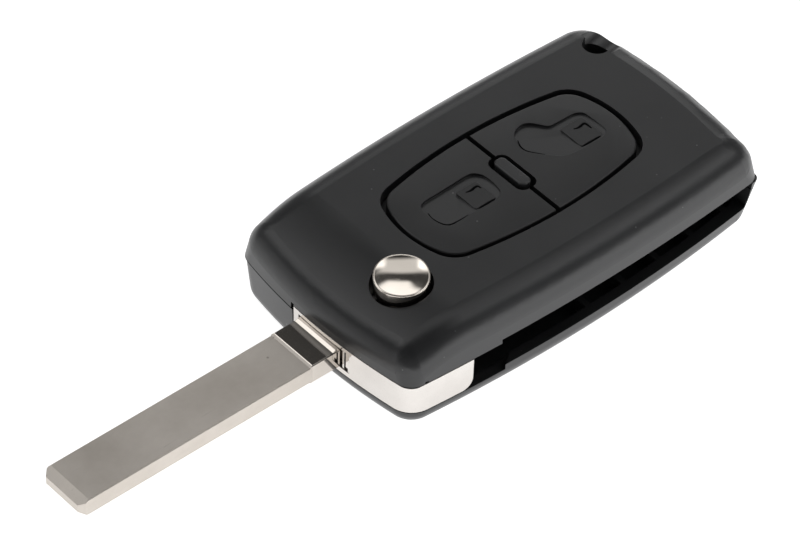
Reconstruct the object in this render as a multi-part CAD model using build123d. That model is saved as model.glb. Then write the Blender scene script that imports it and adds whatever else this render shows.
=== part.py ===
from build123d import *
import math
import os

# Two-button flip key fob shell, with its uncut blade swung open.
# The blade points to -X, the key-ring end to +X, the blade slot lies on the -Y side.
# The origin is the centre of the flat underside and +Z points up. Lengths are in millimetres.

# Sizes that have to grow with the case are a share of its length, width or height.

# Case outline in plan
CASE_LENGTH = 69.5
CASE_WIDTH = 40.0
FRONT_BOW = 1.7
REAR_BOW = 2.0
SIDE_BOW = 1.5
FAR_FLARE_FRONT = -0.5
FAR_FLARE_REAR = 0.9
FRONT_CORNER_R = 2.2
FRONT_FAR_CORNER_R = 2.4
REAR_CORNER_R = 4.2
REAR_NEAR_CORNER_R = 1.2
INNER_CORNER_R = 2.0

# Case section
CASE_HEIGHT = 15.4
PARTING_Z = CASE_HEIGHT * 0.5
PARTING_GAP = 0.2
WALL = 1.6
ROOF = CASE_HEIGHT * 0.117
FLOOR = 1.7
SHOULDER_R = CASE_HEIGHT * 0.292
TOP_CORNER_R = 6.5
TOP_DRAFT = 0.35
UNDERSIDE_R = 2.8
UNDERSIDE_CORNER_R = 4.6
UNDERSIDE_TAPER = 1.3
BOTTOM_DRAFT = 0.3
CROWN_REACH = 12.5
CROWN_FALL = CASE_HEIGHT * 0.218
TONGUE_T = 0.65
TONGUE_H = 0.7
TONGUE_GAP = 0.05

# Pivot and swinging head
PIVOT_INSET = 10.1
PIVOT_Y = -CASE_WIDTH * 0.1675
HEAD_LOW_Z = CASE_HEIGHT * 0.2013
HEAD_HEIGHT = CASE_HEIGHT * 0.341
HEAD_GAP = 0.15
HEAD_REACH = 15.0
HEAD_FAR_REACH = 11.4
HEAD_SIDE_LENGTH = 12.6
HEAD_BOSS_R = 9.6
HEAD_END_R = 1.8
SWING_GAP = 0.25
HUB_BORE_R = 3.5
TOP_HUB_R = 4.4
TOP_HUB_HEIGHT = 2.35
LOW_HUB_R = 5.4
LOW_HUB_DEPTH = 0.9
RUNNING_GAP = 0.08
BEARING_WALL = 1.4
BEARING_RIB_COUNT = 8
BEARING_RIB_T = 1.0
BEARING_RIB_LENGTH = 5.0
BEARING_RIB_DROP = 0.5

# Blade slot along the near side
SLOT_TOP_Z = CASE_HEIGHT * 0.5974
SLOT_END_INSET = 3.45
SLOT_LIP_GAP = 0.2
SLOT_SIDE_GAP = 0.5
SLOT_WALL_T = 1.0
SLOT_RIB_T = 1.0
SLOT_RIB_PITCH = 7.0
SLOT_RIB_COUNT = 5

# Blade
BLADE_REACH = 45.1
BLADE_WIDTH = 8.5
BLADE_T = 2.9
BLADE_OFFSET = 5.6
ROOT_LENGTH = 4.6
ROOT_T = 3.3
ROOT_SLOPE = 0.5
COLLAR_REACH = 0.9
COLLAR_SLOPE = 0.5
COLLAR_RISE = 0.25
TIP_BEVEL_LENGTH = 1.4
TIP_BEVEL_DEPTH = 0.8
TIP_CORNER = 0.8
EDGE_BEVEL = 0.15
TANG_WIDTH = 6.6
TANG_T = 2.5
TANG_DEPTH = 4.4
TANG_GAP = 0.5
BLADE_FIT = 0.1
POCKET_MOUTH = 1.2
RELIEF_WIDTH = 1.5
RELIEF_DEPTH = 0.45
CATCH_SLOT_WIDTH = 0.35
CATCH_SLOT_DEPTH = 1.5
CATCH_FOOT_WIDTH = 0.8
CATCH_FOOT_HEIGHT = 0.7
PIN_R = 0.8
PIN_INSET = 2.6
PIN_DROP = 0.1

# Button opening, caps and divider bar
PAD_LENGTH = CASE_LENGTH * 0.5755
PAD_WIDTH = CASE_WIDTH * 0.52
PAD_X = CASE_LENGTH * 0.026
PAD_Y = 0.1
PAD_BOW = 2.0
PAD_CORNER_R = 4.6
CAP_GAP = 0.7
CAP_SPLIT = 0.75
CAP_TOP_DROP = 0.05
CAP_EDGE_R = 0.3
CAP_FLANGE = 0.8
CAP_FLANGE_T = CASE_HEIGHT * 0.052
CAP_FLANGE_GAP = 0.3
CAP_TRAVEL = 0.5
CAP_POST_R = 2.0
BAR_WIDTH = 2.0
BAR_LENGTH = 6.5
BAR_PROUD = 0.3
BAR_GAP = 0.75
BAR_EDGE_R = 0.25
BAR_FOOT = 0.35
BAR_FOOT_T = 0.6

# Keypad stack under the roof
MEMBRANE_T = CASE_HEIGHT * 0.039
MEMBRANE_MARGIN = 2.2
DOME_R = 3.0
DOME_GAP = 0.25
DOME_RECESS_R = 1.5
KEYPAD_RIB_T = 1.0
KEYPAD_RIB_GAP = 0.4
RETAINER_T = CASE_HEIGHT * 0.0455
RETAINER_LAP = 1.0
TRAY_T = CASE_HEIGHT * 0.0584

# Release button and its mechanism
BUTTON_R = 3.9
BUTTON_HOLE_R = 4.5
BUTTON_PROUD = 1.4
BUTTON_DISH_DEPTH = 0.55
BUTTON_RIM = 0.35
BUTTON_EDGE_R = 0.21
RELEASE_TRAVEL = 2.0
RELEASE_SPARE = 0.1
CAP_STEM_R = 1.5
CAP_STEM_LENGTH = 1.3
PLUNGER_WEB = 1.7
PLUNGER_LENGTH = 5.0
PLUNGER_BORE_R = 2.6
LUG_WIDTH = 2.0
LUG_HEIGHT = 1.1
LUG_DROP = 0.2
SPRING_R = 2.1
SPRING_WIRE_R = 0.3
SPRING_TURNS = 6.5
SEAT_R = 3.2
SEAT_T = 0.6
SEAT_SINK = 0.3
SEAT_PEG_R = 1.4
SEAT_PEG_HEIGHT = 1.6
WASHER_T = 0.3
WASHER_WIDTH = 1.0
WASHER_GAP = 0.1

# Battery holder, key-ring eye and case screw
BATTERY_R = CASE_WIDTH * 0.255
BATTERY_INSET = 22.25
BATTERY_WALL_GAP = 0.7
BATTERY_CUP_WALL = 1.0
BATTERY_CUP_FLOOR = 0.6
BATTERY_DEPTH = 3.8
BATTERY_LEDGE = 1.5
CONTACT_WIDTH = 4.0
CONTACT_T = 0.3
CONTACT_TAB = 3.0
CONTACT_SHORT_REACH = 1.5
CONTACT_LONG_REACH = 8.0
CONTACT_SLOT = 1.2
EYE_INSET_X = 5.5
EYE_INSET_Y = 7.4
EYE_R = 2.15
EYE_WALL = 1.5
SADDLE_R = 3.0
SADDLE_DEPTH = 2.4
SADDLE_ANGLE = 8.0
SCREW_INSET = 7.75
SCREW_Y = -1.5
SCREW_R = 0.95
SCREW_HEAD_R = 1.9
SCREW_LENGTH = CASE_HEIGHT * 0.617
SCREW_SINK = 0.25
SCREW_BOSS_WALL = 1.5
SCREW_BITE = 0.1
CROSS_REACH = 1.1
CROSS_WIDTH = 0.4
CROSS_DEPTH = 0.5
POST_R = 1.5
POST_OFFSET = 3.4
POST_FAR_Y = CASE_WIDTH * 0.35
POST_INSET = 9.0
STOP_T = 3.0
STOP_DROP = 1.0
NOTCH_INSET = 4.55
NOTCH_WIDTH = 0.6
NOTCH_HEIGHT = 0.3

# General clearances
CLEAR = 0.3
SLIDE_FIT = 0.05
PIN_FIT = 0.02
FUSE = 0.5

# Heights and places worked out from the sizes above
FRONT_X = -CASE_LENGTH / 2
REAR_X = CASE_LENGTH / 2
NEAR_Y = -CASE_WIDTH / 2
CROWN_R = (CROWN_REACH ** 2 + CROWN_FALL ** 2) / (2 * CROWN_FALL)
PIVOT_X = FRONT_X + PIVOT_INSET
HEAD_TOP_Z = HEAD_LOW_Z + HEAD_HEIGHT
HEAD_SIDE_X = FRONT_X + HEAD_SIDE_LENGTH
HEAD_FAR_Y = PIVOT_Y + HEAD_FAR_REACH
HUB_TOP_Z = HEAD_TOP_Z + TOP_HUB_HEIGHT
HUB_LOW_Z = HEAD_LOW_Z - LOW_HUB_DEPTH
RIM_OVER_HEAD_Z = HEAD_TOP_Z + HEAD_GAP
RIM_UNDER_HEAD_Z = HEAD_LOW_Z - HEAD_GAP
SWING_R = HEAD_REACH + SWING_GAP
BLADE_MID_Y = PIVOT_Y + BLADE_OFFSET
BLADE_MID_Z = HEAD_LOW_Z + HEAD_HEIGHT / 2
PIN_X = FRONT_X + PIN_INSET
ROOF_Z = CASE_HEIGHT - ROOF
TRAY_Z = SLOT_TOP_Z
RETAINER_Z = TRAY_Z + TRAY_T
MEMBRANE_Z = RETAINER_Z + RETAINER_T
MEMBRANE_TOP_Z = MEMBRANE_Z + MEMBRANE_T
CAP_POST_OFFSET = PAD_LENGTH / 4
CAP_FLANGE_TOP_Z = ROOF_Z - CAP_FLANGE_GAP
CAP_FLANGE_LOW_Z = CAP_FLANGE_TOP_Z - CAP_FLANGE_T
DOME_TOP_Z = CAP_FLANGE_LOW_Z - CAP_TRAVEL - DOME_GAP
BUTTON_TOP_Z = CASE_HEIGHT + BUTTON_PROUD
BUTTON_LOW_Z = HUB_TOP_Z + RELEASE_TRAVEL + RELEASE_SPARE
PLUNGER_LOW_Z = BUTTON_LOW_Z - PLUNGER_LENGTH
LUG_TOP_Z = HUB_TOP_Z - LUG_DROP
SLOT_LIP_Z = BLADE_MID_Z - ROOT_T / 2 - SLOT_LIP_GAP
SLOT_RIB_TOP_Z = BLADE_MID_Z - BLADE_T / 2 - CLEAR
SLOT_WALL_Y = 2 * PIVOT_Y - BLADE_MID_Y + BLADE_WIDTH / 2 + SLOT_SIDE_GAP
SLOT_START_X = PIVOT_X + math.sqrt(SWING_R ** 2 - (NEAR_Y - PIVOT_Y) ** 2)
SLOT_END_X = REAR_X - SLOT_END_INSET
STOP_X = 2 * PIVOT_X - HEAD_SIDE_X - CLEAR
BATTERY_X = REAR_X - BATTERY_INSET
BATTERY_CUP_R = BATTERY_R + BATTERY_CUP_WALL
BATTERY_Y = SLOT_WALL_Y + SLOT_WALL_T + BATTERY_WALL_GAP + BATTERY_CUP_R
BATTERY_LOW_Z = TRAY_Z - BATTERY_DEPTH
CONTACT_X = BATTERY_R + BATTERY_CUP_WALL / 2
EYE_X = REAR_X - EYE_INSET_X
EYE_Y = -NEAR_Y - EYE_INSET_Y
SCREW_X = REAR_X - SCREW_INSET
NOTCH_X = FRONT_X + NOTCH_INSET
CASE_CORNERS = (FRONT_CORNER_R, FRONT_FAR_CORNER_R, REAR_CORNER_R, REAR_NEAR_CORNER_R)
BIG = 100.0


def slab(x0, x1, y0, y1, z0, z1):
    """Box between two corners."""
    size = (x1 - x0, y1 - y0, z1 - z0)
    return Pos((x0 + x1) / 2, (y0 + y1) / 2, (z0 + z1) / 2) * Box(*size)


def rod(x, y, radius, z0, z1):
    """Upright cylinder between two heights."""
    return Pos(x, y, (z0 + z1) / 2) * Cylinder(radius, z1 - z0)


def bowed_face(half_l, half_w, bows, flares, taper, corners):
    """Outline with four bowed sides and rounded corners, centred on the origin.

    bows: inward curve of the front, the rear and the two long sides.
    flares: outward shift of the far side at its front and rear ends.
    taper: inward shift of the near side at its rear end.
    corners: radii of the near front, far front, far rear and near rear corners.
    """
    front_bow, rear_bow, side_bow = bows
    x_front = front_bow - half_l
    x_rear = half_l - rear_bow
    y_side = half_w - side_bow
    front_near = (x_front, -y_side)
    front_far = (x_front, y_side + flares[0])
    rear_far = (x_rear, y_side + flares[1])
    rear_near = (x_rear, taper - y_side)
    front = ThreePointArc(front_near, (-half_l, 0), front_far)
    far = ThreePointArc(front_far, (0, half_w), rear_far)
    rear = ThreePointArc(rear_far, (half_l, 0), rear_near)
    near = ThreePointArc(rear_near, (0, -half_w), front_near)
    face = make_face([front, far, rear, near])
    for place, radius in zip((front_near, front_far, rear_far, rear_near), corners):
        corner = face.vertices().sort_by_distance(place)[0]
        face = fillet(corner, radius)
    return face


def case_face(z, inset, taper=0.0, corner_r=None):
    """Case outline at height z, moved inwards by inset, with its own corners or corner_r."""
    half_l = CASE_LENGTH / 2 - inset
    half_w = CASE_WIDTH / 2 - inset
    bows = (FRONT_BOW, REAR_BOW, SIDE_BOW)
    flares = (FAR_FLARE_FRONT, FAR_FLARE_REAR)
    corners = [max(r - inset, min(r, INNER_CORNER_R)) for r in CASE_CORNERS]
    if corner_r is not None:
        corners = [corner_r] * 4
    return Pos(0, 0, z) * bowed_face(half_l, half_w, bows, flares, taper, corners)


def pad_face(z, margin):
    """Button opening outline at height z, moved outwards by margin."""
    half_l = PAD_LENGTH / 2 + margin
    half_w = PAD_WIDTH / 2 + margin
    corners = [PAD_CORNER_R + margin] * 4
    face = bowed_face(half_l, half_w, [PAD_BOW] * 3, (0, 0), 0, corners)
    return Pos(PAD_X, PAD_Y, z) * face


def pad_prism(margin, z0, z1):
    """Upright prism of the button opening outline."""
    return extrude(pad_face(z0, margin), z1 - z0, dir=(0, 0, 1))


def bar_prism(margin, z0, z1):
    """Upright prism of the divider bar's outline, moved outwards by margin."""
    width = BAR_WIDTH + 2 * margin
    length = BAR_LENGTH + 2 * margin
    face = RectangleRounded(width, length, width * 0.4)
    return extrude(Pos(PAD_X, PAD_Y, z0) * face, z1 - z0)


def crown_cutter(top_z):
    """Space above the top face where it falls away in an arc towards the front."""
    start_x = FRONT_X + CROWN_REACH
    angle = math.asin((CROWN_REACH + 1) / CROWN_R)
    low = (start_x - CROWN_R * math.sin(angle), top_z - CROWN_R * (1 - math.cos(angle)))
    half = angle / 2
    middle = (start_x - CROWN_R * math.sin(half), top_z - CROWN_R * (1 - math.cos(half)))
    arc = ThreePointArc((start_x, top_z), middle, low)
    roof = Polyline(low, (low[0], top_z + 1), (start_x, top_z + 1), (start_x, top_z))
    side = Plane.XZ * make_face([arc, roof])
    return extrude(side, CASE_WIDTH, both=True)


def top_half(inset, top_z, shoulder_r):
    """Upper half of the case form: drafted walls, falling front and rounded shoulders."""
    low = case_face(PARTING_Z, inset)
    high = case_face(top_z, inset + TOP_DRAFT, corner_r=TOP_CORNER_R - inset)
    blank = loft([low, high], ruled=True) - crown_cutter(top_z)
    top_faces = blank.faces().filter_by(lambda f: f.center().Z > top_z - 1)
    rim = [e for e in top_faces.edges() if e.geom_type != GeomType.LINE]
    return fillet(rim, shoulder_r)


def bottom_half(inset, low_z, underside_r):
    """Lower half of the case form, up to the top of the blade slot."""
    low_r = UNDERSIDE_CORNER_R - inset
    low = case_face(low_z, inset + BOTTOM_DRAFT, UNDERSIDE_TAPER, low_r)
    high = case_face(SLOT_TOP_Z, inset)
    blank = loft([low, high], ruled=True)
    return fillet(blank.faces().sort_by(Axis.Z)[0].edges(), underside_r)


def swing_space(z0, z1):
    """Space that the head sweeps as it turns, with the stop block's corner left in."""
    disc = rod(PIVOT_X, PIVOT_Y, SWING_R, z0, z1)
    return disc - slab(-BIG, STOP_X, HEAD_FAR_Y + HEAD_GAP, BIG, z0 - 1, z1 + 1)


def head_opening(z0, z1):
    """Space of the head at the front and round the near front corner."""
    front = slab(-BIG, PIVOT_X, PIVOT_Y, HEAD_FAR_Y + HEAD_GAP, z0, z1)
    corner = slab(-BIG, HEAD_SIDE_X, -BIG, PIVOT_Y, z0, z1)
    return front + corner


def eye_hole():
    """Key-ring hole with the scoop that lowers its outer wall."""
    hole = rod(EYE_X, EYE_Y, EYE_R, -1, CASE_HEIGHT + 1)
    scoop = Rot(0, 90, 0) * Cylinder(SADDLE_R, CASE_WIDTH)
    scoop = Pos(CASE_WIDTH / 2, 0, 0) * scoop
    scoop = Rot(0, 0, SADDLE_ANGLE) * scoop
    height = CASE_HEIGHT + SADDLE_R - SADDLE_DEPTH
    return hole + Pos(EYE_X, EYE_Y, height) * scoop


def edge_notches():
    """Two small moulding notches in the upper shell's lower edge, at either end of the head."""
    half = NOTCH_WIDTH / 2
    top = RIM_OVER_HEAD_Z + NOTCH_HEIGHT
    far_y = HEAD_FAR_Y + HEAD_GAP
    side = slab(NOTCH_X - half, NOTCH_X + half, -BIG, NEAR_Y + WALL, PARTING_Z, top)
    return side + slab(-BIG, FRONT_X + WALL, far_y - half, far_y + half, PARTING_Z, top)


def keypad_rib():
    """Rib under the roof that presses on the rim of the keypad membrane."""
    inner = CAP_FLANGE + KEYPAD_RIB_GAP
    ring = pad_prism(inner + KEYPAD_RIB_T, MEMBRANE_TOP_Z, ROOF_Z + FUSE)
    return ring - pad_prism(inner, 0, CASE_HEIGHT)


def upper_shell():
    """Upper case half with the button opening, release bearing and key-ring eye."""
    outer = top_half(0, CASE_HEIGHT, SHOULDER_R)
    hollow = top_half(WALL, ROOF_Z, SHOULDER_R - WALL)
    rebate_inset = WALL - TONGUE_T - TONGUE_GAP
    rebate_top = PARTING_Z + TONGUE_H
    rebate = extrude(case_face(0, rebate_inset), rebate_top)
    shell = outer - hollow - rebate
    ring_r = BUTTON_HOLE_R + BEARING_WALL - CLEAR
    ring_z = HEAD_TOP_Z + WASHER_T + WASHER_GAP
    features = rod(PIVOT_X, PIVOT_Y, ring_r, ring_z, ROOF_Z + FUSE)
    features += keypad_rib()
    features += rod(EYE_X, EYE_Y, EYE_R + EYE_WALL, PARTING_Z, ROOF_Z + FUSE)
    features += rod(SCREW_X, SCREW_Y, SCREW_R + SCREW_BOSS_WALL, PARTING_Z, ROOF_Z + FUSE)
    shell += features & outer
    shell -= rod(PIVOT_X, PIVOT_Y, BUTTON_HOLE_R, 0, CASE_HEIGHT + 1)
    shell -= pad_prism(0, MEMBRANE_Z, CASE_HEIGHT + 1)
    shell -= pad_prism(CAP_FLANGE + KEYPAD_RIB_GAP, MEMBRANE_Z, ROOF_Z)
    shell -= head_opening(0, RIM_OVER_HEAD_Z)
    shell -= swing_space(0, RIM_OVER_HEAD_Z)
    shell -= slab(SLOT_START_X, BIG, -BIG, SLOT_WALL_Y, 0, SLOT_TOP_Z)
    shell -= edge_notches()
    shell -= rod(SCREW_X, SCREW_Y, SCREW_R - SCREW_BITE, 0, SCREW_LENGTH + CLEAR)
    return shell - eye_hole()


def slot_ribs():
    """Ribs across the floor of the blade slot that carry the folded blade."""
    ribs = []
    for i in range(SLOT_RIB_COUNT):
        x = SLOT_END_X - (i + 0.5) * SLOT_RIB_PITCH
        y0 = NEAR_Y + WALL / 2
        ribs.append(slab(x, x + SLOT_RIB_T, y0, SLOT_WALL_Y, FLOOR / 2, SLOT_RIB_TOP_Z))
    return ribs


def pivot_bearing():
    """Ring on the floor that carries the head's lower hub, with radial ribs."""
    outer_r = LOW_HUB_R + RUNNING_GAP + BEARING_WALL
    ring = rod(PIVOT_X, PIVOT_Y, outer_r, FLOOR / 2, RIM_UNDER_HEAD_Z)
    half = BEARING_RIB_T / 2
    rib_end = outer_r + BEARING_RIB_LENGTH
    rib_top = RIM_UNDER_HEAD_Z - BEARING_RIB_DROP
    rib = slab(outer_r - FUSE, rib_end, -half, half, FLOOR / 2, rib_top)
    for i in range(BEARING_RIB_COUNT):
        angle = 360 / BEARING_RIB_COUNT * (i + 0.5)
        ring += Pos(PIVOT_X, PIVOT_Y, 0) * Rot(0, 0, angle) * rib
    return ring


def rim_tongue():
    """Tongue on the rim of the lower shell that fits inside the upper wall."""
    inset = WALL - TONGUE_T
    top = PARTING_Z + TONGUE_H - TONGUE_GAP
    ring = extrude(case_face(0, inset), top) - extrude(case_face(0, WALL), top)
    ring -= slab(-BIG, BIG, -BIG, BIG, -1, PARTING_Z - 1)
    ring -= rod(EYE_X, EYE_Y, EYE_R + EYE_WALL + TONGUE_GAP, 0, BIG)
    return ring - slab(PIVOT_X, BIG, -BIG, SLOT_WALL_Y + SLOT_WALL_T, 0, BIG)


def tray_posts():
    """Posts on the floor that carry the circuit tray."""
    x = PIVOT_X + SWING_R + POST_OFFSET
    rear = (SLOT_END_X - POST_INSET, SLOT_WALL_Y + POST_R + CLEAR)
    places = [(x, POST_FAR_Y), (x, 0), rear]
    return [rod(x, y, POST_R, FLOOR / 2, TRAY_Z) for x, y in places]


def slot_wall():
    """Upright wall between the blade slot and the circuit space."""
    x0 = PIVOT_X + SWING_R + CLEAR
    y1 = SLOT_WALL_Y + SLOT_WALL_T
    low = slab(x0, REAR_X, SLOT_WALL_Y, y1, FLOOR / 2, PARTING_Z - PARTING_GAP)
    return low + slab(x0, SLOT_END_X + SLOT_WALL_T, SLOT_WALL_Y, y1, FLOOR / 2, SLOT_TOP_Z)


def stop_block():
    """Block in the front corner that the head meets at both ends of its swing."""
    y0 = HEAD_FAR_Y + HEAD_GAP
    return slab(FRONT_X, STOP_X, y0, y0 + STOP_T, FLOOR / 2, PARTING_Z - STOP_DROP)


def lower_shell():
    """Lower case half with floor, slot ribs, pivot bearing, stop block and bosses."""
    outer = bottom_half(0, 0, UNDERSIDE_R)
    walls = outer - bottom_half(WALL, FLOOR, UNDERSIDE_R - WALL)
    rim_z = PARTING_Z - PARTING_GAP
    corner_y = SLOT_WALL_Y - PARTING_GAP
    rim = slab(-BIG, BIG, -BIG, BIG, -1, rim_z)
    rim += slab(SLOT_END_X, BIG, -BIG, corner_y, -1, SLOT_TOP_Z - PARTING_GAP)
    inside = pivot_bearing() + slot_wall() + stop_block()
    inside += slot_ribs() + tray_posts()
    inside += rod(EYE_X, EYE_Y, EYE_R + EYE_WALL, FLOOR / 2, rim_z)
    inside += rod(SCREW_X, SCREW_Y, SCREW_R + SCREW_BOSS_WALL, FLOOR / 2, rim_z)
    core = bottom_half(WALL / 2, FLOOR / 2, UNDERSIDE_R - WALL / 2)
    shell = (walls & rim) + (inside & core) + rim_tongue()
    shell -= slab(SLOT_START_X, SLOT_END_X, -BIG, SLOT_WALL_Y, SLOT_LIP_Z, BIG)
    shell -= head_opening(RIM_UNDER_HEAD_Z, BIG)
    shell -= swing_space(RIM_UNDER_HEAD_Z, BIG)
    shell -= rod(PIVOT_X, PIVOT_Y, LOW_HUB_R + RUNNING_GAP, FLOOR, BIG)
    shell -= rod(PIVOT_X, PIVOT_Y, SEAT_R + PIN_FIT, FLOOR - SEAT_SINK, FLOOR + FUSE)
    shell -= rod(SCREW_X, SCREW_Y, SCREW_R + SCREW_BITE, -1, BIG)
    shell -= screw_recess()
    return shell - eye_hole()


def screw_recess():
    """Countersink of the case screw in the underside."""
    taper = SCREW_HEAD_R - SCREW_R
    mouth = SCREW_SINK - SLIDE_FIT
    cone = Cone(SCREW_HEAD_R + SCREW_BITE, SCREW_R + SCREW_BITE, taper)
    cone = Pos(SCREW_X, SCREW_Y, mouth + taper / 2) * cone
    return cone + rod(SCREW_X, SCREW_Y, SCREW_HEAD_R + SCREW_BITE, -1, mouth)


def case_screw():
    """Countersunk screw that clamps the two case halves at the key-ring end."""
    taper = SCREW_HEAD_R - SCREW_R
    head = Pos(SCREW_X, SCREW_Y, SCREW_SINK + taper / 2) * Cone(SCREW_HEAD_R, SCREW_R, taper)
    shank = rod(SCREW_X, SCREW_Y, SCREW_R, SCREW_SINK + taper, PARTING_Z)
    thread = rod(SCREW_X, SCREW_Y, SCREW_R - SCREW_BITE - PIN_FIT, PARTING_Z, SCREW_LENGTH)
    half = CROSS_WIDTH / 2
    depth = SCREW_SINK + CROSS_DEPTH
    cross = slab(-CROSS_REACH, CROSS_REACH, -half, half, 0, depth)
    cross += slab(-half, half, -CROSS_REACH, CROSS_REACH, 0, depth)
    return head + shank + thread - Pos(SCREW_X, SCREW_Y, 0) * cross


def cap_body(side):
    """One button cap before its post: side is -1 for the front cap and 1 for the rear."""
    top_z = CASE_HEIGHT - CAP_TOP_DROP
    cap = pad_prism(-CAP_GAP, CAP_FLANGE_LOW_Z, top_z)
    cap = fillet(cap.faces().sort_by(Axis.Z)[-1].edges(), CAP_EDGE_R)
    cap += pad_prism(CAP_FLANGE, CAP_FLANGE_LOW_Z, CAP_FLANGE_TOP_Z)
    cap -= bar_prism(BAR_GAP, 0, BIG)
    cap -= rod(PIVOT_X, PIVOT_Y, BUTTON_HOLE_R + BEARING_WALL, 0, BIG)
    edge = PAD_X + side * CAP_SPLIT / 2
    far = edge + side * BIG
    keep = slab(min(edge, far), max(edge, far), -BIG, BIG, 0, BIG)
    return cap & keep


def button_cap(side):
    """Button cap with the post that presses the membrane's dome."""
    x = PAD_X + side * CAP_POST_OFFSET
    post_low = DOME_TOP_Z + CAP_TRAVEL + SLIDE_FIT
    return cap_body(side) + rod(x, PAD_Y, CAP_POST_R, post_low, CAP_FLANGE_TOP_Z)


def divider_bar():
    """Small raised bar between the two caps, standing on a foot on the membrane."""
    body = bar_prism(0, MEMBRANE_TOP_Z, CASE_HEIGHT + BAR_PROUD)
    body = fillet(body.faces().sort_by(Axis.Z)[-1].edges(), BAR_EDGE_R)
    return body + bar_prism(BAR_FOOT, MEMBRANE_TOP_Z, MEMBRANE_TOP_Z + BAR_FOOT_T)


def keypad_clearance():
    """Space round the release bearing that the keypad parts keep free."""
    return rod(PIVOT_X, PIVOT_Y, BUTTON_HOLE_R + BEARING_WALL, 0, BIG)


def keypad_membrane():
    """Silicone sheet with one raised dome under each cap."""
    sheet = pad_prism(MEMBRANE_MARGIN, MEMBRANE_Z, MEMBRANE_TOP_Z)
    for side in (-1, 1):
        x = PAD_X + side * CAP_POST_OFFSET
        height = DOME_TOP_Z - MEMBRANE_TOP_Z
        dome = Cone(DOME_R, CAP_POST_R, height)
        sheet += Pos(x, PAD_Y, MEMBRANE_TOP_Z + height / 2) * dome
        sheet -= rod(x, PAD_Y, DOME_RECESS_R, 0, MEMBRANE_Z + MEMBRANE_T / 2)
    return sheet - keypad_clearance()


def keypad_retainer():
    """Frame that holds the membrane's rim up against the upper shell."""
    frame = pad_prism(MEMBRANE_MARGIN, RETAINER_Z, MEMBRANE_Z)
    frame -= pad_prism(-RETAINER_LAP, 0, BIG)
    half = CONTACT_WIDTH / 2 + CLEAR
    tab_x = BATTERY_X + CONTACT_X - CLEAR
    frame -= slab(tab_x, BIG, BATTERY_Y - half, BATTERY_Y + half, 0, BIG)
    return frame - keypad_clearance()


def circuit_tray():
    """Inner tray: the roof of the blade slot, the battery cup and the contact slots."""
    outline = case_face(TRAY_Z, WALL + CLEAR, corner_r=REAR_CORNER_R)
    cup_floor = BATTERY_LOW_Z + BATTERY_CUP_FLOOR
    tray = extrude(outline, TRAY_T, dir=(0, 0, 1))
    tray -= slab(-BIG, PIVOT_X + SWING_R, -BIG, BIG, 0, BIG)
    tray += rod(BATTERY_X, BATTERY_Y, BATTERY_CUP_R, BATTERY_LOW_Z, TRAY_Z)
    tray -= rod(BATTERY_X, BATTERY_Y, BATTERY_R, cup_floor, BIG)
    tray -= rod(BATTERY_X, BATTERY_Y, BATTERY_R - BATTERY_LEDGE, 0, BIG)
    tray -= rod(EYE_X, EYE_Y, EYE_R + EYE_WALL + CLEAR, 0, BIG)
    tray -= rod(SCREW_X, SCREW_Y, SCREW_R + SCREW_BOSS_WALL + CLEAR, 0, BIG)
    half = CONTACT_WIDTH / 2 + SLIDE_FIT
    for side in (-1, 1):
        x0 = BATTERY_X + side * CONTACT_X - CONTACT_SLOT
        x1 = x0 + 2 * CONTACT_SLOT
        tray -= slab(x0, x1, BATTERY_Y - half, BATTERY_Y + half, cup_floor, BIG)
    return tray


def battery_contact(side, reach):
    """Bent contact strip: a tab on the tray, a leg in the cup wall and a finger below."""
    half = CONTACT_WIDTH / 2
    low_z = BATTERY_LOW_Z + BATTERY_CUP_FLOOR
    top_z = RETAINER_Z + CONTACT_T
    tab = slab(CONTACT_X, CONTACT_X + CONTACT_TAB, -half, half, RETAINER_Z, top_z)
    leg = slab(CONTACT_X, CONTACT_X + CONTACT_T, -half, half, low_z, top_z)
    finger = slab(CONTACT_X - reach, CONTACT_X, -half, half, low_z, low_z + CONTACT_T)
    strip = tab + leg + finger
    if side < 0:
        strip = Rot(0, 0, 180) * strip
    return Pos(BATTERY_X, BATTERY_Y, 0) * strip


def head_plan():
    """Plan prism of the head: round boss, front block and near front corner block."""
    corner = slab(-BIG, HEAD_SIDE_X, -BIG, PIVOT_Y, HEAD_LOW_Z, HEAD_TOP_Z)
    end = corner.faces().sort_by(Axis.X)[-1]
    corner = fillet(end.edges().sort_by(Axis.Z)[0], HEAD_END_R)
    plan = corner + slab(-BIG, PIVOT_X, PIVOT_Y, HEAD_FAR_Y, HEAD_LOW_Z, HEAD_TOP_Z)
    plan = plan & rod(PIVOT_X, PIVOT_Y, HEAD_REACH, HEAD_LOW_Z, HEAD_TOP_Z)
    return plan + rod(PIVOT_X, PIVOT_Y, HEAD_BOSS_R, HEAD_LOW_Z, HEAD_TOP_Z)


def blade_pocket():
    """Pocket in the front of the head for the blade's root and tang."""
    y0 = BLADE_MID_Y - BLADE_WIDTH / 2 - CLEAR
    y1 = BLADE_MID_Y + BLADE_WIDTH / 2 + CLEAR
    z0 = BLADE_MID_Z - ROOT_T / 2 - BLADE_FIT
    z1 = BLADE_MID_Z + ROOT_T / 2 + COLLAR_RISE + BLADE_FIT
    mouth = slab(-BIG, FRONT_X + POCKET_MOUTH, y0, y1, z0, z1)
    half_w = TANG_WIDTH / 2 + BLADE_FIT
    half_t = TANG_T / 2 + BLADE_FIT
    tang = slab(-BIG, FRONT_X + TANG_DEPTH + BLADE_FIT, -half_w, half_w, -half_t, half_t)
    relief = slab(-BIG, FRONT_X + RELIEF_DEPTH, y0 - RELIEF_WIDTH, y0, z0, z1)
    return mouth + relief + catch_slot(y0, z0, z1) + Pos(0, BLADE_MID_Y, BLADE_MID_Z) * tang


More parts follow.
